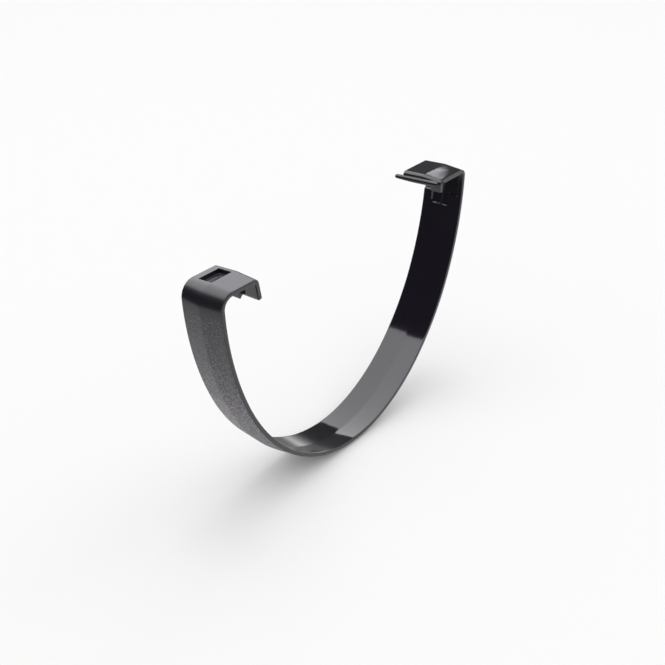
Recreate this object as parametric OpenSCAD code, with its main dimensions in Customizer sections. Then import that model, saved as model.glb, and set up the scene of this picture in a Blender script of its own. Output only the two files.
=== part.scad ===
// Gutter bracket: a strap moulded in one piece that wraps round a deep-flow gutter and
// snaps over both of its edges.
// X runs across the gutter from the front clip to the rear clip, Y along it and Z up.
// The origin is where the gutter's sole rests, halfway across the strap.

/* [Gutter] */
// Widest inside measure, from arm to arm
gutter_w = 115; // [104:1:125]
// Inside height, from the sole up to the widest level
gutter_d = 74.5; // [66:0.5:84]

/* [Strap] */
// Width of the strap, measured along the gutter
strap_w = 14.4; // [14:0.1:18]
// Thickness of the moulded wall
wall = 1.35; // [1.2:0.05:2]
// Height of the ridge along the middle of the strap
ridge = 0.8; // [0.4:0.1:1.2]
// Height of the ridge on top of the clips
clip_ridge = 0.4; // [0.2:0.1:1.2]
// Bevel on the strap's long edges
edge_bevel = 0.2; // [0.1:0.05:0.3]

/* [Front clip] */
// Level where the front bend starts, below the widest level
front_start = 5.2; // [4:0.1:7]
// Inside radius of the front bend
front_bend_r = 3.1; // [2:0.1:4]
// Straight part of the front clip's top
front_top = 8.5; // [8.5:0.1:11]
// Inside radius of the fold between the top and the front lip
front_fold_r = 0.7; // [0.4:0.1:1.2]
// Slant of the front lip away from its arm, in degrees
front_slant = 12; // [11:1:12]
// Straight length of the front lip
front_lip = 5; // [4:0.1:7]

/* [Hook and pocket] */
// Width of the hook on the front lip
hook_w = 8; // [5:0.1:8]
// How far the hook stands in from the lip
hook_reach = 1.2; // [0.8:0.1:1.6]
// Height of the hook on the lip
hook_h = 2.8; // [2:0.1:3.5]
// How far the hook's point hangs below the lip
hook_drop = 0.7; // [0.3:0.1:1]
// Length of the pocket over the hook
hook_pocket_l = 7.9; // [5:0.1:7.9]
// Width of that pocket
hook_pocket_w = 4.6; // [3:0.1:5]
// Depth of that pocket below the strap's outside
hook_pocket_depth = 2.1; // [1:0.1:3]
// Wall round that pocket where it hangs below the top
hook_pocket_wall = 0.8; // [0.6:0.1:1.2]
// Rim left between that pocket and the fold
hook_pocket_rim = 0.5; // [0.3:0.1:0.6]
// Distance from the middle of the strap to the middle of the hook and its pocket
hook_y = 2.6; // [1:0.1:2.8]

/* [Rear clip] */
// Level where the rear bend starts, below the widest level
rear_start = 3.8; // [3:0.1:6]
// Inside radius of the rear bend
rear_bend_r = 1.1; // [0.8:0.1:2]
// Straight part of the rear clip's top, nose included
rear_top = 12.3; // [11:0.1:14]
// Rounding of the nose at the end of the top
nose_r = 1.2; // [0.6:0.1:1.2]
// Width of the plate below the nose, at the near edge of the strap
plate_w = 3.7; // [2.5:0.1:5]
// Drop of the plate below the underside of the top
plate_drop = 2.6; // [2:0.1:4]
// Rounding inside the corner of the plate and the top
plate_fillet = 0.8; // [0.4:0.1:1.2]

/* [Bar] */
// Diameter of the bar under the nose
bar_d = 1.9; // [1.5:0.1:2]
// Diameter of its free end
bar_tip_d = 1.4; // [0.8:0.1:1.5]
// How far it stands out past the far edge of the strap
bar_out = 3; // [1:0.1:4]
// Length of its tapered stretch
bar_taper = 5.5; // [3:0.1:7]
// Gap left between its near end and the near edge of the strap
bar_gap = 0.5; // [0.2:0.1:1]
// Depth of its middle line below the underside of the top
bar_drop = 0.35; // [0:0.05:0.5]
// Slope of the bar towards its free end, in degrees
bar_slope = 3; // [0:0.5:4]

/* [Latch recess] */
// Depth of the recess inside the rear arm
recess_depth = 0.5; // [0.3:0.1:0.7]
// Drop of the recess's shoulder below the underside of the rear top
shoulder_drop = 8.4; // [7:0.1:10]
// Drop of its pocket below the shoulder
pocket_drop = 4.1; // [3:0.1:6]
// Width of the pocket
pocket_w = 6.8; // [5:0.1:8]
// Distance from the middle of the strap to the middle of the pocket
pocket_y = 1; // [0:0.1:1.5]
// Rounding of the pocket's lower corners
pocket_r = 0.9; // [0.5:0.1:1.5]
// Rim left along the near edge of the strap
recess_rim = 1.5; // [1:0.1:2]
// Width of the rib that stands in the pocket
rib_w = 0.4; // [0.3:0.1:0.8]
// Height of the rib
rib_h = 8.2; // [4:0.1:9]
// Distance from the middle of the strap to the rib
rib_y = 0.6; // [0:0.1:1.5]

/* [Hidden] */
$fn = 96;
plastic = [0.07, 0.07, 0.075];
arcs = 4; // tangent arcs in each half of the curve
beyond = 5; // how far a cutting shape runs past the surface it cuts
lip_step = 0.03; // how far each face of the front lip lies inside the fold's
lip_lap = 0.15; // how far the lip starts inside the fold
half_w = strap_w / 2;
flat_w = half_w - edge_bevel;
semi_x = gutter_w / 2;
semi_z = gutter_d;

// The strap's inside edges follow half an ellipse. A heading is the direction of travel
// along it, from 0 at the sole to nearly 90 degrees where a bend starts.
function fine(v) = round(v * 1000) / 1000;
function heading_at(drop) =
    let (s = drop / semi_z)
    arcs * fine(atan2(semi_z * sqrt(1 - s * s), semi_x * s) / arcs);
function oval(h) = norm([semi_x * sin(h), semi_z * cos(h)]);
function oval_radius(h) = pow(semi_x * semi_z, 2) / pow(oval(h), 3);
function oval_x(h) = semi_x * semi_x * sin(h) / oval(h);
function oval_z(h) = semi_z - semi_z * semi_z * cos(h) / oval(h);

// It is drawn as tangent arcs. The middle arcs take the ellipse's own radius, and the
// first and the last take what closes the curve.
function total(list, i = 0) = i < len(list) ? list[i] + total(list, i + 1) : 0;
function arm_steps(end) =
    let (
        turn = end / arcs,
        last = arcs - 1,
        run = [for (i = [0:last]) sin((i + 1) * turn) - sin(i * turn)],
        climb = [for (i = [0:last]) cos(i * turn) - cos((i + 1) * turn)],
        mid = [for (i = [1:last - 1]) oval_radius((i + 0.5) * turn)],
        x_left = oval_x(end) - total([for (i = [1:last - 1]) mid[i - 1] * run[i]]),
        z_left = oval_z(end) - total([for (i = [1:last - 1]) mid[i - 1] * climb[i]]),
        det = run[0] * climb[last] - run[last] * climb[0],
        first_r = (x_left * climb[last] - z_left * run[last]) / det,
        last_r = (z_left * run[0] - x_left * climb[0]) / det,
        radii = concat([first_r], mid, [last_r])
    )
    [for (r = radii) [fine(r), turn]];

// A path is a list of arcs, each written [radius, turn]. It starts at the origin along +X
// and turns up towards +Z.
function heading(path, i) = i > 0 ? heading(path, i - 1) + path[i - 1][1] : 0;
function outward(h) = [sin(h), -cos(h)];
function joint(path, i) = i > 0
    ? joint(path, i - 1) + path[i - 1][0]
        * (outward(heading(path, i)) - outward(heading(path, i - 1)))
    : [0, 0];

// An arm ends where its bend starts, and the bend turns it back over the gutter in steps,
// over which the ridge falls to its height on the clips.
bend_steps = 4;
function bend(r, end) = [for (i = [1:bend_steps]) [r, (180 - end) / bend_steps]];
function bend_ridge(i) = ridge + (clip_ridge - ridge) * i / bend_steps;
front_end = heading_at(front_start);
rear_end = heading_at(rear_start);
front_arm = arm_steps(front_end);
rear_arm = arm_steps(rear_end);
front_path = concat(front_arm, bend(front_bend_r, front_end));
rear_path = concat(rear_arm, bend(rear_bend_r, rear_end));
rear_bend_z = joint(rear_path, arcs)[1];
rear_under = joint(rear_path, arcs + bend_steps)[1];

// Height of a ridge of height r over the edges, at a distance v from the middle.
function crest(v, r = ridge) = r * (1 - abs(v) / half_w);

// Outside of the cross-section with a ridge of height r, from the far edge to the near one.
function outside(r) = [
    [wall - edge_bevel, half_w], [wall + crest(flat_w, r), flat_w], [wall + r, 0],
    [wall + crest(flat_w, r), -flat_w], [wall - edge_bevel, -half_w]
];

// Cross-section of the strap: x points out of the gutter and y along it.
module ridged_wall(r = ridge) {
    polygon(concat([
        [edge_bevel, -half_w], [crest(flat_w, r), -flat_w], [r, 0],
        [crest(flat_w, r), flat_w], [edge_bevel, half_w]
    ], outside(r)));
}

// The same outside over a flat inside.
module flat_backed(r = clip_ridge) {
    polygon(concat([[0, -half_w], [0, half_w]], outside(r)));
}

// Cross-section of the front lip: flat, and a hair thinner than the strap.
module lip_wall() {
    polygon([
        [lip_step, -half_w], [lip_step, half_w],
        [wall - edge_bevel, half_w], [wall - lip_step, flat_w],
        [wall - lip_step, -flat_w], [wall - edge_bevel, -half_w]
    ]);
}

// Everything within a depth of the strap's inside, to cut recesses that follow it.
module inner_skin(depth) {
    side = half_w + beyond;
    polygon([
        [-beyond, -side], [depth + crest(side), -side], [depth + ridge, 0],
        [depth + crest(side), side], [-beyond, side]
    ]);
}

// Moves to a point [x, z], roughly and then by what is left, so that neighbouring arcs
// meet exactly when the numbers are written out with six digits.
module place(p) {
    rough = [fine(p[0]), fine(p[1])];
    translate([rough[0], 0, rough[1]])
        translate([p[0] - rough[0], 0, p[1] - rough[1]]) children();
}

// Draws one arc of a path with a cross-section.
module arc(path, i) {
    h = heading(path, i);
    r = path[i][0];
    place(joint(path, i) - r * outward(h)) rotate([90, 0, 0])
        rotate_extrude(angle = path[i][1], start = h - 90) translate([r, 0]) children();
}

// The strap's arm and bend.
module strap(path) {
    for (i = [0:arcs - 1]) arc(path, i) ridged_wall();
    for (i = [1:bend_steps]) arc(path, arcs + i - 1) ridged_wall(bend_ridge(i));
}

// Draws something at the end of a path, turned with it.
module after(path) {
    n = len(path);
    place(joint(path, n)) rotate([0, -heading(path, n), 0]) children();
}

// Straight stretch of a cross-section along +X.
module straight(length) {
    rotate([0, 90, 0]) linear_extrude(length) children();
}

// Block under the front clip's top, drawn where the top starts, and the pocket in it.
hook_pocket_x = front_top - hook_pocket_rim - hook_pocket_l;
hook_pocket_z = hook_pocket_depth - wall;
module pocket_block() {
    translate([hook_pocket_x - hook_pocket_wall,
        hook_y - hook_pocket_w / 2 - hook_pocket_wall, -wall / 2])
        cube([hook_pocket_l + hook_pocket_wall + hook_pocket_rim + front_fold_r,
            hook_pocket_w + 2 * hook_pocket_wall,
            wall / 2 + hook_pocket_z + hook_pocket_wall]);
}
module hook_pocket() {
    translate([hook_pocket_x, hook_y - hook_pocket_w / 2, hook_pocket_z - beyond])
        cube([hook_pocket_l, hook_pocket_w, beyond]);
}

// Front lip with its fold, drawn where the fold starts. The ridge fades out over the fold,
// whose outside is cut level a hair outside the lip's.
module front_lip_shape() {
    fold = [[front_fold_r, 90 - front_slant]];
    intersection() {
        arc(fold, 0) flat_backed();
        after(fold) translate([-gutter_d, -strap_w, -wall - lip_step])
            cube([2 * gutter_d, 2 * strap_w, gutter_d]);
    }
    after(fold) {
        translate([-lip_lap, 0, 0]) straight(lip_lap + front_lip) lip_wall();
        hook();
    }
}

// Hook on the inside of the front lip, drawn where the lip's straight starts.
module hook() {
    translate([0, hook_y + hook_w / 2, 0]) rotate([90, 0, 0]) linear_extrude(hook_w)
        polygon([
            [front_lip - hook_h, -wall / 2], [front_lip - hook_h, 0],
            [front_lip - hook_h + hook_reach / 2, hook_reach],
            [front_lip + hook_drop, hook_reach], [front_lip, 0], [front_lip, -wall / 2]
        ]);
}

// Front clip, drawn where its top starts.
module front_clip() {
    difference() {
        union() {
            straight(front_top) ridged_wall(clip_ridge);
            pocket_block();
        }
        hook_pocket();
    }
    translate([front_top, 0, 0]) front_lip_shape();
}

// Ridged nose at the end of the rear top, drawn where the rounding starts.
module nose() {
    intersection() {
        translate([0, 0, nose_r - wall]) rotate([90, 90, 0]) rotate_extrude(angle = 90)
            polygon(concat([[0, -half_w], [0, half_w]],
                [for (p = outside(clip_ridge)) p + [nose_r - wall, 0]]));
        translate([0, -strap_w, -beyond]) cube([nose_r, 2 * strap_w, 2 * beyond]);
    }
    translate([0, -half_w, nose_r - wall]) cube([nose_r, strap_w, wall - nose_r]);
}

// Plate that hangs from the nose at the near edge, drawn where the rounding starts.
module plate() {
    depth = wall - nose_r + plate_drop;
    translate([nose_r - wall, -half_w, nose_r - wall])
        cube([wall, plate_w, depth]);
    translate([nose_r - wall - plate_fillet, -half_w, 0]) difference() {
        cube([plate_fillet, plate_w, plate_fillet]);
        translate([0, -beyond, plate_fillet]) rotate([-90, 0, 0])
            cylinder(r = plate_fillet, h = plate_w + 2 * beyond);
    }
}

// Bar under the nose, drawn where the rounding starts. It runs along Y, tapers to a free
// end past the strap's far edge and slopes a little towards it.
module bar() {
    straight = strap_w - bar_gap + bar_out - bar_taper - (bar_d + bar_tip_d) / 2;
    translate([nose_r, 0, bar_drop]) rotate([bar_slope, 0, 0])
        translate([0, bar_gap + bar_d / 2 - half_w, 0]) rotate([-90, 0, 0]) {
            sphere(d = bar_d);
            cylinder(d = bar_d, h = straight);
            translate([0, 0, straight]) cylinder(d1 = bar_d, d2 = bar_tip_d, h = bar_taper);
            translate([0, 0, straight + bar_taper]) sphere(d = bar_tip_d);
        }
}

// Rear clip, drawn where its top starts.
module rear_clip() {
    straight(rear_top - nose_r) ridged_wall(clip_ridge);
    translate([rear_top - nose_r, 0, 0]) {
        nose();
        plate();
        bar();
    }
}

// Outline of the latch recess, seen along X: y along the gutter and z up.
module recess_outline() {
    shoulder_z = rear_under - shoulder_drop;
    pocket_z = shoulder_z - pocket_drop;
    left = pocket_y - pocket_w / 2;
    difference() {
        union() {
            translate([recess_rim - half_w, shoulder_z])
                square([strap_w, rear_bend_z - shoulder_z]);
            translate([left, pocket_z + pocket_r])
                square([pocket_w, rear_bend_z - pocket_z - pocket_r]);
            translate([left + pocket_r, pocket_z])
                square([pocket_w - 2 * pocket_r, pocket_r]);
            for (y = [left + pocket_r, left + pocket_w - pocket_r])
                translate([y, pocket_z + pocket_r]) circle(r = pocket_r);
        }
        translate([rib_y - rib_w / 2, pocket_z]) square([rib_w, rib_h]);
    }
}

// Recess cut into the inside of the rear arm, following its curve.
module latch_recess() {
    intersection() {
        for (i = [0:arcs - 1]) arc(rear_arm, i) inner_skin(recess_depth);
        rotate([90, 0, 90]) linear_extrude(gutter_w) recess_outline();
    }
}

module gutter_bracket() {
    color(plastic) {
        mirror([1, 0, 0]) {
            strap(front_path);
            after(front_path) front_clip();
        }
        difference() {
            strap(rear_path);
            latch_recess();
        }
        after(rear_path) rear_clip();
    }
}

gutter_bracket();
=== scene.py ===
import math
import bmesh
import bpy
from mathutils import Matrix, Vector


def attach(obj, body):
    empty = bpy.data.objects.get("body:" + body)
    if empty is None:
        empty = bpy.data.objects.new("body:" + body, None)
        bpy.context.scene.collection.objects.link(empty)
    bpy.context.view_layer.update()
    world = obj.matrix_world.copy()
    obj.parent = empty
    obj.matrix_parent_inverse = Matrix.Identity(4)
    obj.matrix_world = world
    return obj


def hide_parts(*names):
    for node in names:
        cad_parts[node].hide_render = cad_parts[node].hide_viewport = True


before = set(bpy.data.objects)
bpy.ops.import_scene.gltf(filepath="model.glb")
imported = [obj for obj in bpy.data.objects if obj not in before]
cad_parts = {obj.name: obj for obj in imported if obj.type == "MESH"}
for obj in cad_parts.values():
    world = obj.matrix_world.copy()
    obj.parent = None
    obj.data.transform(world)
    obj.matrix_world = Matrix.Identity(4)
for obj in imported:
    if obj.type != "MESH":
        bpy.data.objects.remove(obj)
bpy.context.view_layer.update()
mm = 0.001
tiny = 1e-6
quarter = math.pi / 2
cadNode = "gutter_bracket"

# Sizes in millimetres. The origin is where the gutter's sole rests.
strap = {
    "halfInside": 57.5, "depth": 74.5, "halfWidth": 7.2, "wall": 1.35,
    "ridge": 0.8, "clipRidge": 0.4,
    "crown": 0.3,  # half the width over which the ridge is rounded
    "bevel": 0.2,
    "bevelCut": 0.3,  # how deep the middle of the bevel lies, as a share of it
    "arcs": 4,  # tangent arcs on each side of the sole
    "step": 0.8, "fineStep": 0.2, "outerStep": 1,  # how finely it is divided
    "merge": 0.004,  # points closer than this become one
}
front = {
    "start": 5.2, "bend": 3.1, "top": 8.5, "fold": 0.7, "slant": 12, "lip": 5,
    "pocket": (0.1, 8.0), "pocketSide": (0.3, 4.9), "edge": 0.12,
    "bendParts": 22, "foldParts": 12, "topStep": 1, "lipStep": 1.2,
}
rear = {
    "start": 3.8, "bend": 1.1, "top": 12.3, "nose": 1.2,
    "bendParts": 16, "noseParts": 10, "topStep": 1,
}
recess = {
    "depth": 0.5, "shoulder": 8.4, "pocket": 4.1, "side": (-2.4, 4.4), "round": 0.9,
    "rim": -5.7, "rib": (0.4, 0.8), "ribHeight": 8.2,
    "soft": 0.3,  # width of the recess's sloping edge
    "margin": 1,  # finely divided stretch below the recess
}

halfWidth, bevel, wall, crown = (strap[k] for k in ("halfWidth", "bevel", "wall", "crown"))
cut = bevel * strap["bevelCut"]
# A path's steps are its arcs, the bend, the top and, in front, the fold and the lip.
bendStep = strap["arcs"]
topStep = bendStep + 1
foldStep = bendStep + 2


# Evenly spaced values after a, up to b.
def between(a, b, parts):
    return [a + (b - a) * (i + 1) / parts for i in range(parts)]


# Evenly divided list of places that keeps every mark.
def ruled(marks, step):
    out = [marks[0]]
    for a, b in zip(marks, marks[1:]):
        out += between(a, b, max(1, math.ceil((b - a) / step - tiny)))
    return out


# The places along a stretch as shares of its length.
def shares(length, step, marks=()):
    inner = sorted(m / length for m in marks)
    return ruled([0, *inner, 1], step / length)[1:]


def smooth(t):
    t = min(1, max(0, t))
    return t * t * (3 - 2 * t)


def ovalRadius(h):
    a, b = strap["halfInside"], strap["depth"]
    return (a * b) ** 2 / math.hypot(a * math.sin(h), b * math.cos(h)) ** 3


def ovalPoint(h):
    a, b = strap["halfInside"], strap["depth"]
    reach = math.hypot(a * math.sin(h), b * math.cos(h))
    return a * a * math.sin(h) / reach, b - b * b * math.cos(h) / reach


def headingAt(drop):
    s = drop / strap["depth"]
    return math.atan2(strap["depth"] * math.sqrt(1 - s * s), strap["halfInside"] * s)


# Tangent arcs (radius, turn) from the sole to where a bend starts. The inner arcs follow
# the oval, and the first and last are solved so that they end on it.
def armArcs(end):
    n = strap["arcs"]
    turn = end / n
    run = [math.sin((i + 1) * turn) - math.sin(i * turn) for i in range(n)]
    climb = [math.cos(i * turn) - math.cos((i + 1) * turn) for i in range(n)]
    middle = [ovalRadius((i + 0.5) * turn) for i in range(1, n - 1)]
    x, z = ovalPoint(end)
    x -= sum(r * d for r, d in zip(middle, run[1:]))
    z -= sum(r * d for r, d in zip(middle, climb[1:]))
    det = run[0] * climb[-1] - run[-1] * climb[0]
    first = (x * climb[-1] - z * run[-1]) / det
    last = (z * run[0] - x * climb[0]) / det
    return [(r, turn) for r in [first, *middle, last]]


# Places (step, x, z, heading, share) along steps of (radius, turn, shares) for an arc or
# (0, length, shares) for a straight. It starts at the sole along +X and turns up.
def travel(steps):
    x = z = h = 0.0
    places = [(0, x, z, h, 0.0)]
    for k, (radius, size, stops) in enumerate(steps):
        x0, z0, h0 = x, z, h
        for t in stops:
            if radius:
                h = h0 + size * t
                x = x0 + radius * (math.sin(h) - math.sin(h0))
                z = z0 + radius * (math.cos(h0) - math.cos(h))
            else:
                x = x0 + size * t * math.cos(h0)
                z = z0 + size * t * math.sin(h0)
            places.append((k, x, z, h, t))
    return places


# Height where the last of some (radius, turn) arcs ends.
def heightAfter(arcs):
    return travel([(radius, turn, [1]) for radius, turn in arcs])[-1][2]


# Share of the ridge's height at a distance from the middle, rounded at its top.
def crest(y):
    d = abs(y) if abs(y) > crown else (y * y / crown + crown) / 2
    return 1 - d / halfWidth


# Height of the ridge, which falls over the bend.
def ridgeAt(k, t):
    high, low = strap["ridge"], strap["clipRidge"]
    if k < bendStep:
        return high
    return high + (low - high) * smooth(t) if k == bendStep else low


# How far a point lies inside the recess's outline; negative outside.
def insideRecess(y, z, under, top):
    shoulderZ = under - recess["shoulder"]
    pocketZ = shoulderZ - recess["pocket"]
    low, high = recess["side"]
    r = recess["round"]
    side, up = min(y - low, high - y), z - pocketZ
    pocket = r - math.hypot(r - side, r - up) if max(side, up) < r else min(side, up)
    found = max(min(y - recess["rim"], z - shoulderZ), pocket)
    a, b = recess["rib"]
    if z < pocketZ + recess["ribHeight"]:
        found = min(found, max(a - y, y - b))
    return min(found, top - z)


def noDip(y):
    return 0


def recessDip(z, under, top):
    return lambda y: recess["depth"] * smooth(insideRecess(y, z, under, top) / recess["soft"])


flatSide = halfWidth - bevel
outerY = ruled([-flatSide, -crown, 0, *front["pocketSide"], flatSide], strap["outerStep"])
innerY = ruled([-flatSide, recess["rim"], recess["side"][0], -crown, 0, crown, *recess["rib"],
                recess["side"][1], front["pocketSide"][1], flatSide], strap["fineStep"])


# Points of the section, ridged inside and outside: (offset outwards, y, belongs to the
# outside, shows grain).
def section(inRidge, outRidge, crestLimit=wall, dip=noDip):
    points = [(wall + min(crest(y) * outRidge, crestLimit), y, True, 1) for y in outerY]
    far, near = dip(halfWidth), dip(-halfWidth)
    points += [(wall - cut, halfWidth - cut, True, 0), (wall - bevel, halfWidth, True, 0),
               (bevel + far, halfWidth, False, 0), (cut + far, halfWidth - cut, False, 0)]
    points += [(crest(y) * inRidge + dip(y), y, False, 0) for y in reversed(innerY)]
    points += [(cut + near, cut - halfWidth, False, 0), (bevel + near, -halfWidth, False, 0),
               (wall - bevel, -halfWidth, True, 0), (wall - cut, cut - halfWidth, True, 0)]
    return points


# Sections from the sole to the end of the front lip. The inside is flat past the top, and
# the ridge outside fades out round the fold.
def frontLoops():
    turn = math.radians(90 - front["slant"])
    end = headingAt(front["start"])
    steps = [(r, t, shares(r * t, strap["step"])) for r, t in armArcs(end)]
    steps += [
        (front["bend"], math.pi - end, shares(1, 1 / front["bendParts"])),
        (0, front["top"], shares(front["top"], front["topStep"], front["pocket"])),
        (front["fold"], turn, shares(1, 1 / front["foldParts"])),
        (0, front["lip"], shares(front["lip"], front["lipStep"])),
    ]
    outside = front["fold"] + wall
    loops = []
    for k, x, z, h, t in travel(steps):
        ridge = ridgeAt(k, t)
        if k <= topStep:
            points = section(ridge, ridge)
        elif k == foldStep:
            points = section(0, ridge, outside / math.cos(turn * (1 - t)) - outside)
        else:
            points = section(0, ridge, 0)
        if k == foldStep and loops[-1]["step"] == topStep:
            loops.append(dict(loops[-1], points=section(0, ridge)))
        loops.append(dict(x=x, z=z, h=h, step=k, points=points,
                          along=front["top"] * t if k == topStep else -1))
    return loops


# Sections from the sole to where the nose starts, with the recess at the arm's upper end.
def rearLoops():
    end = headingAt(rear["start"])
    arcs = armArcs(end)
    bend = (rear["bend"], math.pi - end)
    under, top = heightAfter(arcs + [bend]), heightAfter(arcs)
    radius, turn = arcs[-1]
    length = radius * turn
    zone = recess["shoulder"] + recess["pocket"] + recess["margin"]
    coarse = ruled([0, length - zone], strap["step"])
    fine = ruled([length - zone, length], strap["fineStep"])
    flat = rear["top"] - rear["nose"]
    steps = [(r, t, shares(r * t, strap["step"])) for r, t in arcs[:-1]]
    steps += [
        (radius, turn, [s / length for s in coarse[1:] + fine[1:]]),
        (*bend, shares(1, 1 / rear["bendParts"])),
        (0, flat, shares(flat, rear["topStep"])),
    ]
    loops = []
    for k, x, z, h, t in travel(steps):
        dip = recessDip(z, under, top) if k == bendStep - 1 else noDip
        ridge = ridgeAt(k, t)
        loops.append(dict(x=x, z=z, h=h, step=k, along=-1,
                          points=section(ridge, ridge, wall, dip)))
    return loops


# The grain ends below the bends and grows stronger downwards. Its lighter specks growing
# downwards are partly painted light, for the lower face lit by the floor's reflection.
grain = {"top": 68.5, "fade": 3, "weak": 0.2, "full": 18, "from": 60}
# The band's inside is a little scuffed in front of the sole.
scuff = {"share": 0.35, "from": -5, "fade": 10, "top": 10, "drop": 4}


def grainAndPaintedLightAt(z):
    growth = smooth((grain["from"] - z) / (grain["from"] - grain["full"]))
    strength = grain["weak"] + (1 - grain["weak"]) * growth
    return strength * smooth((grain["top"] - z) / grain["fade"])


# Grain and satin at a point of the front half. Outside, it is satin from below the bend on.
def frontFinish(co, step, outside, grained):
    x, z = co.x / mm, co.z / mm
    if outside:
        return (grained * grainAndPaintedLightAt(z) if step <= bendStep else 0,
                1 if step >= bendStep - 1 else 0)
    scuffed = scuff["share"] * smooth((scuff["from"] - x) / scuff["fade"])
    return 0, scuffed * smooth((scuff["top"] - z) / scuff["drop"])


def rearFinish(co, step, outside, grained):
    return grained * grainAndPaintedLightAt(co.z / mm) if step < bendStep else 0, 0


def plainFinish(co, step, outside, grained):
    return 0, 0


# Coordinates in metres of a section's points.
def placed(loop, side=1):
    sine, cosine = math.sin(loop["h"]), math.cos(loop["h"])
    return [Vector((side * (loop["x"] + sine * o), y, loop["z"] - cosine * o)) * mm
            for o, y, _, _ in loop["points"]]


# The nose turns the outside down about a line under the top's surface.
def noseRings(base):
    lift = wall - rear["nose"]
    turns = [(phi, lift) for phi in between(0, quarter, rear["noseParts"])] + [(quarter, 0)]
    rings = [placed(base)]
    for phi, rise in turns:
        ring = []
        for o, y, outside, _ in base["points"]:
            x, z = base["x"], base["z"] + min(o, lift)
            if outside:
                reach = min(o - lift, rear["nose"] / math.sin(phi))
                x = base["x"] - reach * math.sin(phi)
                z = base["z"] + rise + reach * math.cos(phi)
            ring.append(Vector((x, y, z)) * mm)
        rings.append(ring)
    return rings


def inPocket(alongs, sides):
    (lowA, highA), (lowY, highY) = front["pocket"], front["pocketSide"]
    return (min(alongs) > lowA - tiny and max(alongs) < highA + tiny
            and min(sides) > lowY - tiny and max(sides) < highY + tiny)


# Walls of the pocket, from the outside to the inside.
def pocketWalls(bm, rings, hole):
    rows = sorted({i for i, _ in hole})
    outer = sorted({j for _, j in hole if j < len(outerY)})
    inner = sorted({j for _, j in hole if j >= len(outerY)})
    outLow, outHigh, inHigh, inLow = outer[0], outer[-1] + 1, inner[0], inner[-1] + 1
    walls = []
    for a, b in ((rings[i], rings[i + 1]) for i in rows):
        walls.append(bm.faces.new((a[outLow], b[outLow], b[inLow], a[inLow])))
        walls.append(bm.faces.new((a[outHigh], a[inHigh], b[inHigh], b[outHigh])))
    for ring in (rings[rows[0]], rings[rows[-1] + 1]):
        walls.append(bm.faces.new(ring[outLow:outHigh + 1] + ring[inHigh:inLow + 1]))
    return walls


def addObject(name, data):
    obj = bpy.data.objects.new(name, data)
    bpy.context.scene.collection.objects.link(obj)
    return obj


finish = {"sharp": math.radians(40), "weight": 60}


# Makes an object of a mesh, smooth but for its sharp edges.
def finishPiece(bm, name):
    for f in bm.faces:
        f.smooth = True
    for e in bm.edges:
        if len(e.link_faces) == 2 and e.calc_face_angle(0) > finish["sharp"]:
            e.smooth = False
    mesh = bpy.data.meshes.new(name)
    bm.to_mesh(mesh)
    bm.free()
    piece = addObject(name, mesh)
    normals = piece.modifiers.new("weightedNormals", "WEIGHTED_NORMAL")
    normals.keep_sharp = True
    normals.weight = finish["weight"]
    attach(piece, "root")
    return piece


def bevelEdges(bm, edges, offset, segments):
    bmesh.ops.bevel(bm, geom=edges, offset=offset * mm, offset_type="OFFSET",
                    segments=segments, profile=0.5, affect="EDGES", material=-1)


frontList = frontLoops()
rearList = rearLoops()
topStart = [p for p in frontList if p["step"] == bendStep][-1]
foldEnd = [p for p in frontList if p["step"] == foldStep][-1]
noseX, noseZ = rearList[-1]["x"], rearList[-1]["z"]


# The strap is a loft from the front lip's end round to the nose.
def buildStrap():
    nose = dict(rearList[-1], points=section(0, strap["clipRidge"]))
    loft = [(placed(loop, -1), loop, frontFinish) for loop in reversed(frontList)]
    loft += [(placed(loop), loop, rearFinish) for loop in rearList[1:]]
    loft += [(coords, nose, plainFinish) for coords in noseRings(nose)]
    bm = bmesh.new()
    grainLayer = bm.verts.layers.float.new("grain")
    satinLayer = bm.verts.layers.float.new("satin")
    rings = []
    for coords, loop, finishAt in loft:
        ring = [bm.verts.new(co) for co in coords]
        for v, (_, _, outside, grained) in zip(ring, loop["points"]):
            v[grainLayer], v[satinLayer] = finishAt(v.co, loop["step"], outside, grained)
        rings.append(ring)

    alongs = [loop["along"] for _, loop, _ in loft]
    sides = [y for _, y, _, _ in nose["points"]]
    count = len(sides)
    hole = []
    for i in range(len(rings) - 1):
        a, b = rings[i], rings[i + 1]
        for j in range(count):
            k = (j + 1) % count
            if inPocket(alongs[i:i + 2], (sides[j], sides[k])):
                hole.append((i, j))
            else:
                bm.faces.new((a[j], a[k], b[k], b[j]))
    walls = pocketWalls(bm, rings, hole)
    lipEnd = bm.faces.new(rings[0])
    bm.faces.new(rings[-1])
    rim = {e for f in walls for e in f.edges if sum(g in walls for g in e.link_faces) == 1}
    rim |= set(lipEnd.edges)
    bmesh.ops.recalc_face_normals(bm, faces=bm.faces)
    bevelEdges(bm, list(rim), front["edge"], 2)
    bmesh.ops.remove_doubles(bm, verts=bm.verts, dist=strap["merge"] * mm)
    bmesh.ops.recalc_face_normals(bm, faces=bm.faces)
    return finishPiece(bm, "strap")


strapPiece = buildStrap()
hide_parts(cadNode)
print("strap built:", len(strapPiece.data.polygons), "faces")

# Plate and hook are extruded across the strap, with bevels on their sharp edges.
prismBevel = {"sharp": math.radians(25), "segments": 3}


def prism(name, profile, yLow, yHigh, edge):
    bm = bmesh.new()
    side = bm.faces.new([bm.verts.new(Vector((x, yLow, z)) * mm) for x, z in profile])
    made = bmesh.ops.extrude_face_region(bm, geom=[side])["geom"]
    moved = [v for v in made if isinstance(v, bmesh.types.BMVert)]
    bmesh.ops.translate(bm, verts=moved, vec=(0, (yHigh - yLow) * mm, 0))
    bmesh.ops.recalc_face_normals(bm, faces=bm.faces)
    sharp = [e for e in bm.edges if e.calc_face_angle(0) > prismBevel["sharp"]]
    bevelEdges(bm, sharp, edge, prismBevel["segments"])
    return finishPiece(bm, name)


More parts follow.
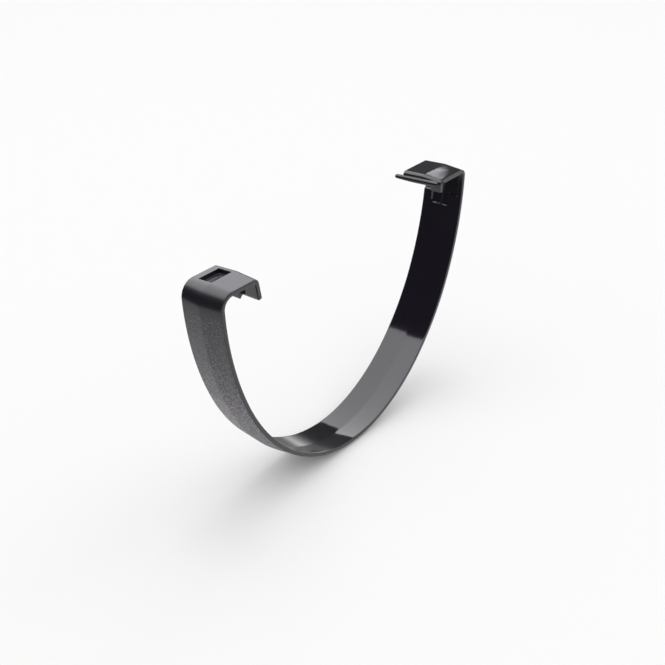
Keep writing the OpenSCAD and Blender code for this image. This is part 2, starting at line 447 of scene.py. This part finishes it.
# Plate below the nose at the near edge, with a fillet inside its corner.
plate = {"width": 3.7, "drop": 2.6, "fillet": 0.8, "filletParts": 8, "edge": 0.12,
         "root": 0.7, "lap": 0.1, "skin": 0.01}


def buildPlate():
    outerX = noseX - rear["nose"] - plate["skin"]
    r = plate["fillet"]
    fillet = [(noseX - rear["nose"] + wall + r * (1 - math.cos(a)), noseZ - r * (1 - math.sin(a)))
              for a in [0, *between(0, quarter, plate["filletParts"])]]
    profile = [(outerX, noseZ + plate["lap"]), (outerX, noseZ - plate["drop"]),
               (fillet[0][0], noseZ - plate["drop"]), *fillet,
               (fillet[-1][0], noseZ + plate["root"]), (noseX, noseZ + plate["root"])]
    return prism("plate", profile, -halfWidth, plate["width"] - halfWidth, plate["edge"])


# Hook on the inside of the front lip, rooted in half the wall.
hook = {"width": 8, "reach": 1.2, "height": 2.8, "drop": 0.7, "middle": 2.6, "edge": 0.1,
        "setBack": 0.15}


def onLip(along, inwards):
    h = foldEnd["h"]
    x = foldEnd["x"] + math.cos(h) * along - math.sin(h) * inwards
    z = foldEnd["z"] + math.sin(h) * along + math.cos(h) * inwards
    return -x, z


def buildHook():
    lip, reach, root = front["lip"], hook["reach"], -wall / 2
    start = lip - hook["height"]
    profile = [onLip(*p) for p in (
        (start, root), (start, 0), (start + reach / 2, reach),
        (lip + hook["drop"], reach), (lip, 0), (lip - hook["setBack"], root))]
    half = hook["width"] / 2
    return prism("hook", profile, hook["middle"] - half, hook["middle"] + half, hook["edge"])


# Block under the front clip's top, hollowed from above to close the pocket. The hollow
# is wider than the pocket in the top by the skin, and its floor has rounded edges.
block = {"wall": 0.8, "floor": 0.75, "root": 0.4, "fold": 9.2, "skin": 0.02, "edge": 0.9,
         "edgeSegments": 6}


def buildBlock():
    (lowX, highX), (lowY, highY) = front["pocket"], front["pocketSide"]
    zero = Vector((-topStart["x"], 0, topStart["z"]))
    lows = zero + Vector((lowX - block["wall"], lowY - block["wall"],
                          -block["floor"] - block["wall"]))
    highs = zero + Vector((block["fold"], highY + block["wall"], block["root"]))
    bm = bmesh.new()
    bmesh.ops.create_cube(bm, size=1)
    bmesh.ops.scale(bm, verts=bm.verts, vec=(highs - lows) * mm)
    bmesh.ops.translate(bm, verts=bm.verts, vec=(highs + lows) / 2 * mm)
    top = max(bm.faces, key=lambda f: f.calc_center_median().z)
    rim = bmesh.ops.extrude_discrete_faces(bm, faces=[top])["faces"][0]
    middle = rim.calc_center_median()
    skin = block["skin"]
    for v in rim.verts:
        v.co.x = (zero.x + (lowX - skin if v.co.x < middle.x else highX + skin)) * mm
        v.co.y = (lowY - skin if v.co.y < middle.y else highY + skin) * mm
    floor = bmesh.ops.extrude_discrete_faces(bm, faces=[rim])["faces"][0]
    sink = block["root"] + block["floor"]
    bmesh.ops.translate(bm, verts=floor.verts, vec=(0, 0, -sink * mm))
    bmesh.ops.recalc_face_normals(bm, faces=bm.faces)
    bevelEdges(bm, list(floor.edges), block["edge"], block["edgeSegments"])
    # Painted light: pale makes the whole block a paler colour, standing for the light seen in the
    # pocket.
    layers = [bm.verts.layers.float.new(name) for name in ("pale", "satin")]
    for v in bm.verts:
        for layer in layers:
            v[layer] = 1
    return finishPiece(bm, "pocketBlock")


# Bar under the nose. It tapers to its free end and slopes a little towards it.
bar = {"radius": 0.95, "tip": 0.7, "gap": 0.5, "out": 3, "taper": 5.5, "drop": 0.35,
       "slope": math.radians(3), "sides": 40, "merge": 0.001,
       "parts": {"end": 10, "straight": 6, "taper": 5, "tip": 6}}


def buildBar():
    radius, tip, parts = bar["radius"], bar["tip"], bar["parts"]
    straight = 2 * halfWidth - bar["gap"] + bar["out"] - bar["taper"] - radius - tip
    ends = straight + bar["taper"]
    profile = [(-radius * math.cos(a), radius * math.sin(a))
               for a in [0, *between(0, quarter, parts["end"])]]
    profile += [(t, radius) for t in between(0, straight, parts["straight"])]
    profile += zip(between(straight, ends, parts["taper"]), between(radius, tip, parts["taper"]))
    profile += [(ends + tip * math.sin(a), tip * math.cos(a))
                for a in between(0, quarter, parts["tip"])]
    bm = bmesh.new()
    verts = [bm.verts.new((r * mm, t * mm, 0)) for t, r in profile]
    edges = [bm.edges.new(pair) for pair in zip(verts, verts[1:])]
    bmesh.ops.spin(bm, geom=verts + edges, cent=(0, 0, 0), axis=(0, 1, 0),
                   angle=2 * math.pi, steps=bar["sides"], use_merge=True)
    bmesh.ops.remove_doubles(bm, verts=bm.verts, dist=bar["merge"] * mm)
    bmesh.ops.recalc_face_normals(bm, faces=bm.faces)
    start = bar["gap"] + radius - halfWidth
    sine, cosine = math.sin(bar["slope"]), math.cos(bar["slope"])
    for v in bm.verts:
        y, z = v.co.y + start * mm, v.co.z
        v.co = Vector((v.co.x + (noseX - rear["nose"]) * mm, y * cosine + z * sine,
                       z * cosine - y * sine + (noseZ - bar["drop"]) * mm))
    return finishPiece(bm, "bar")


pieces = [strapPiece, buildPlate(), buildHook(), buildBlock(), buildBar()]
print("clip details built")


# Node whose inputs are plain values or other nodes' outputs.
def addNode(tree, kind, inputs=None, **settings):
    n = tree.nodes.new(kind)
    for name, value in settings.items():
        setattr(n, name, value)
    for name, value in (inputs or {}).items():
        if isinstance(value, bpy.types.NodeSocket):
            tree.links.new(value, n.inputs[name])
        else:
            n.inputs[name].default_value = value
    return n


def mathNode(tree, operation, *values, **settings):
    inputs = dict(enumerate(values))
    return addNode(tree, "ShaderNodeMath", inputs, operation=operation, **settings).outputs[0]


def mixNumbers(tree, factor, a, b):
    inputs = {0: factor, 2: a, 3: b}
    return addNode(tree, "ShaderNodeMix", inputs, data_type="FLOAT").outputs[0]


def mixColours(tree, factor, a, b):
    inputs = {0: factor, 6: a, 7: b}
    return addNode(tree, "ShaderNodeMix", inputs, data_type="RGBA").outputs[2]


# Rises from 0 to 1 between two values.
def riseNode(tree, value, edge):
    inputs = {"Value": value, "From Min": edge[0], "From Max": edge[1]}
    return addNode(tree, "ShaderNodeMapRange", inputs).outputs["Result"]


# How far a place lies in a direction.
def alongNode(tree, place, towards):
    inputs = {0: place, 1: towards}
    along = addNode(tree, "ShaderNodeVectorMath", inputs, operation="DOT_PRODUCT")
    return along.outputs["Value"]


def attributeNode(tree, name):
    return addNode(tree, "ShaderNodeAttribute", attribute_name=name).outputs["Fac"]


def objectPlace(tree):
    return addNode(tree, "ShaderNodeTexCoord").outputs["Object"]


def newMaterial(name):
    mat = bpy.data.materials.new(name)
    mat.use_nodes = True
    return mat


# Links outputs to the shader, and sets its plain values.
def feedShader(tree, inputs):
    shader = tree.nodes["Principled BSDF"]
    for name, value in inputs.items():
        if isinstance(value, bpy.types.NodeSocket):
            tree.links.new(value, shader.inputs[name])
        else:
            shader.inputs[name].default_value = value


# Black moulded plastic: glossy, with a satin front clip and a grained outside. The attributes
# grain, satin and pale say where each of them shows. Pale marks painted light: a paler colour on
# the pocket block that stands for the light seen inside the front pocket.
plastic = {
    "body": (0.0082, 0.007, 0.011, 1), "speck": (0.285, 0.262, 0.309, 1),
    "pocketPaintedLight": (0.075, 0.07, 0.082, 1), "ior": 1.57,
    "gloss": 0.07, "satin": 0.34, "grained": 0.42,
    "grainScale": 2100, "grainDetail": 3, "grainRoughness": 0.6, "grainHeight": 0.00015,
    "specks": (0.465, 0.64),
    "relief": 5,  # how much sooner the grain's relief is full than its specks
    "waveScale": 130, "waveDetail": 1, "waveHeight": 0.00002,
}


def makePlastic():
    mat = newMaterial("blackPlastic")
    tree = mat.node_tree
    place = objectPlace(tree)
    grained, satin, pale = (attributeNode(tree, name) for name in ("grain", "satin", "pale"))
    noise = addNode(tree, "ShaderNodeTexNoise", {
        "Vector": place, "Scale": plastic["grainScale"], "Detail": plastic["grainDetail"],
        "Roughness": plastic["grainRoughness"]}).outputs["Fac"]
    # The lighter specks are real grain, and partly painted light where they grow stronger
    # downwards.
    specks = mathNode(tree, "MULTIPLY", riseNode(tree, noise, plastic["specks"]), grained)
    colour = mixColours(tree, specks, plastic["body"], plastic["speck"])
    # Painted light: the block marked pale is mixed towards a paler colour for the light in the
    # pocket.
    colour = mixColours(tree, pale, colour, plastic["pocketPaintedLight"])
    rough = mixNumbers(tree, satin, plastic["gloss"], plastic["satin"])
    rough = mixNumbers(tree, grained, rough, plastic["grained"])
    wave = addNode(tree, "ShaderNodeTexNoise", {
        "Vector": place, "Scale": plastic["waveScale"], "Detail": plastic["waveDetail"]})
    waves = addNode(tree, "ShaderNodeBump", {
        "Height": wave.outputs["Fac"], "Distance": plastic["waveHeight"], "Strength": 1})
    relief = mathNode(tree, "MULTIPLY", grained, plastic["relief"], use_clamp=True)
    bump = addNode(tree, "ShaderNodeBump", {
        "Height": noise, "Distance": plastic["grainHeight"], "Strength": relief,
        "Normal": waves.outputs["Normal"]})
    feedShader(tree, {"IOR": plastic["ior"], "Base Color": colour, "Roughness": rough,
                      "Normal": bump.outputs["Normal"]})
    return mat


blackPlastic = makePlastic()
for piece in pieces:
    piece.data.materials.append(blackPlastic)
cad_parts[cadNode].data.materials.clear()
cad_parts[cadNode].data.materials.append(blackPlastic)
print("materials made")

# White table. Reflections see it darkened in two zones, each bounded by soft edges at
# distances in metres along their directions.
table = {"level": -2.15 * mm, "size": 12, "white": 0.8, "roughness": 0.8, "zones": [
    {"share": 0.96, "edges": [((-0.6, 0.8, 0), (0.145, 0.2))]},
    {"share": 0.6, "edges": [((-0.515, 0.857, 0), (0.004, 0.008)),
                             ((0.82, 0.57, 0), (0.01, 0.022))]}]}


def addStage(name, points, mat):
    mesh = bpy.data.meshes.new(name)
    mesh.from_pydata(points, [], [range(len(points))])
    mesh.materials.append(mat)
    obj = addObject(name, mesh)
    return obj


def makeWhite():
    mat = newMaterial("whiteTable")
    tree = mat.node_tree
    place = objectPlace(tree)
    zones = []
    for zone in table["zones"]:
        darkness = zone["share"]
        for towards, edge in zone["edges"]:
            past = riseNode(tree, alongNode(tree, place, towards), edge)
            darkness = mathNode(tree, "MULTIPLY", past, darkness)
        zones.append(darkness)
    glossyRay = addNode(tree, "ShaderNodeLightPath").outputs["Is Glossy Ray"]
    dimmed = mathNode(tree, "MULTIPLY", mathNode(tree, "MAXIMUM", *zones), glossyRay)
    white = (*[table["white"]] * 3, 1)
    feedShader(tree, {"Base Color": mixColours(tree, dimmed, white, (0, 0, 0, 1)),
                      "Roughness": table["roughness"], "Specular IOR Level": 0})
    return mat


half, level = table["size"] / 2, table["level"]
addStage("floor", [(-half, -half, level), (half, -half, level), (half, half, level),
                   (-half, half, level)], makeWhite())

# Soft boxes that only reflections see: corners in metres and strength.
boxColour = (0.985, 0.975, 1.015, 1)
boxes = {
    "overhead": {"strength": 3.05, "corners": [
        (-0.141, -0.056, 0.2), (-0.084, 0.409, 0.2), (0.458, 0.44, 0.2), (0.049, -0.06, 0.2)]},
    "side": {"strength": 2.6, "corners": [
        (0.9, -0.33, 0.24), (0.9, 0.25, 0.24), (0.9, 0.25, 1.4), (0.9, -0.33, 1.4)]},
    "card": {"strength": 2, "corners": [
        (0.17, 0.062, 0.138), (0.17, 0.0745, 0.1375), (0.17, 0.0745, 0.144),
        (0.17, 0.062, 0.144)]},
    "streak": {"strength": 8, "corners": [
        (0.17, 0.061, 0.1342), (0.17, 0.074, 0.1395), (0.17, 0.0722, 0.138),
        (0.17, 0.066, 0.1352)]},
}


def makeGlow(name, strength):
    mat = newMaterial(name)
    tree = mat.node_tree
    tree.nodes.clear()
    glow = addNode(tree, "ShaderNodeEmission", {"Strength": strength, "Color": boxColour})
    addNode(tree, "ShaderNodeOutputMaterial", {"Surface": glow.outputs[0]})
    return mat


for name, box in boxes.items():
    panel = addStage(name + "Box", box["corners"], makeGlow(name + "Light", box["strength"]))
    panel.visible_camera = False
    panel.visible_shadow = False
    panel.visible_diffuse = False

# Lamp over the table, for the floor and its shadow. It points at the origin.
lamp = {"place": (0.15, 0.15, 1.4), "size": 0.4, "power": 1.8}
light = bpy.data.lights.new("lamp", "AREA")
light.size = lamp["size"]
light.energy = lamp["power"]
lampObject = addObject("lamp", light)
lampObject.location = lamp["place"]
lampObject.rotation_euler = Vector(lamp["place"]).to_track_quat("Z", "Y").to_euler()
lampObject.visible_glossy = False

# Room: white to the camera and pale to the table. To the gloss it is nearly black, with
# glows low down behind the rear arm.
room = {"pale": 1.09, "dark": 0.024, "glows": [
    {"towards": (0.976, -0.085, -0.196), "edge": (0.68, 0.84), "fall": 4, "strength": 4},
    {"towards": (0.82, 0.57, 0), "edge": (0.4, 0.8), "fall": 1, "strength": 0.15}]}


def makeRoom():
    world = bpy.data.worlds.new("studio")
    world.use_nodes = True
    tree = world.node_tree
    place = addNode(tree, "ShaderNodeTexCoord").outputs["Generated"]
    strength = room["dark"]
    for glow in room["glows"]:
        near = riseNode(tree, alongNode(tree, place, glow["towards"]), glow["edge"])
        fall = mathNode(tree, "POWER", near, glow["fall"])
        strength = mathNode(tree, "MULTIPLY_ADD", fall, glow["strength"], strength)
    ray = addNode(tree, "ShaderNodeLightPath").outputs
    strength = mixNumbers(tree, ray["Is Diffuse Ray"], strength, room["pale"])
    strength = mixNumbers(tree, ray["Is Camera Ray"], strength, 1)
    back = tree.nodes["Background"]
    back.inputs["Color"].default_value = (1, 1, 1, 1)
    tree.links.new(strength, back.inputs["Strength"])
    return world


bpy.context.scene.world = makeRoom()

# Place in millimetres, angles in degrees.
camera = {"place": (-254.67, -194.155, 213.656), "azimuth": -52.3907, "height": 29.0763,
          "lens": 64.268, "sensor": 36, "clipStart": 0.01}
data = bpy.data.cameras.new("camera")
data.lens = camera["lens"]
data.sensor_width = camera["sensor"]
data.clip_start = camera["clipStart"]
eye = addObject("camera", data)
eye.location = Vector(camera["place"]) * mm
eye.rotation_euler = (math.radians(90 - camera["height"]), 0, math.radians(camera["azimuth"]))
bpy.context.scene.camera = eye
bpy.context.scene.view_settings.view_transform = "Standard"
print("stage set")
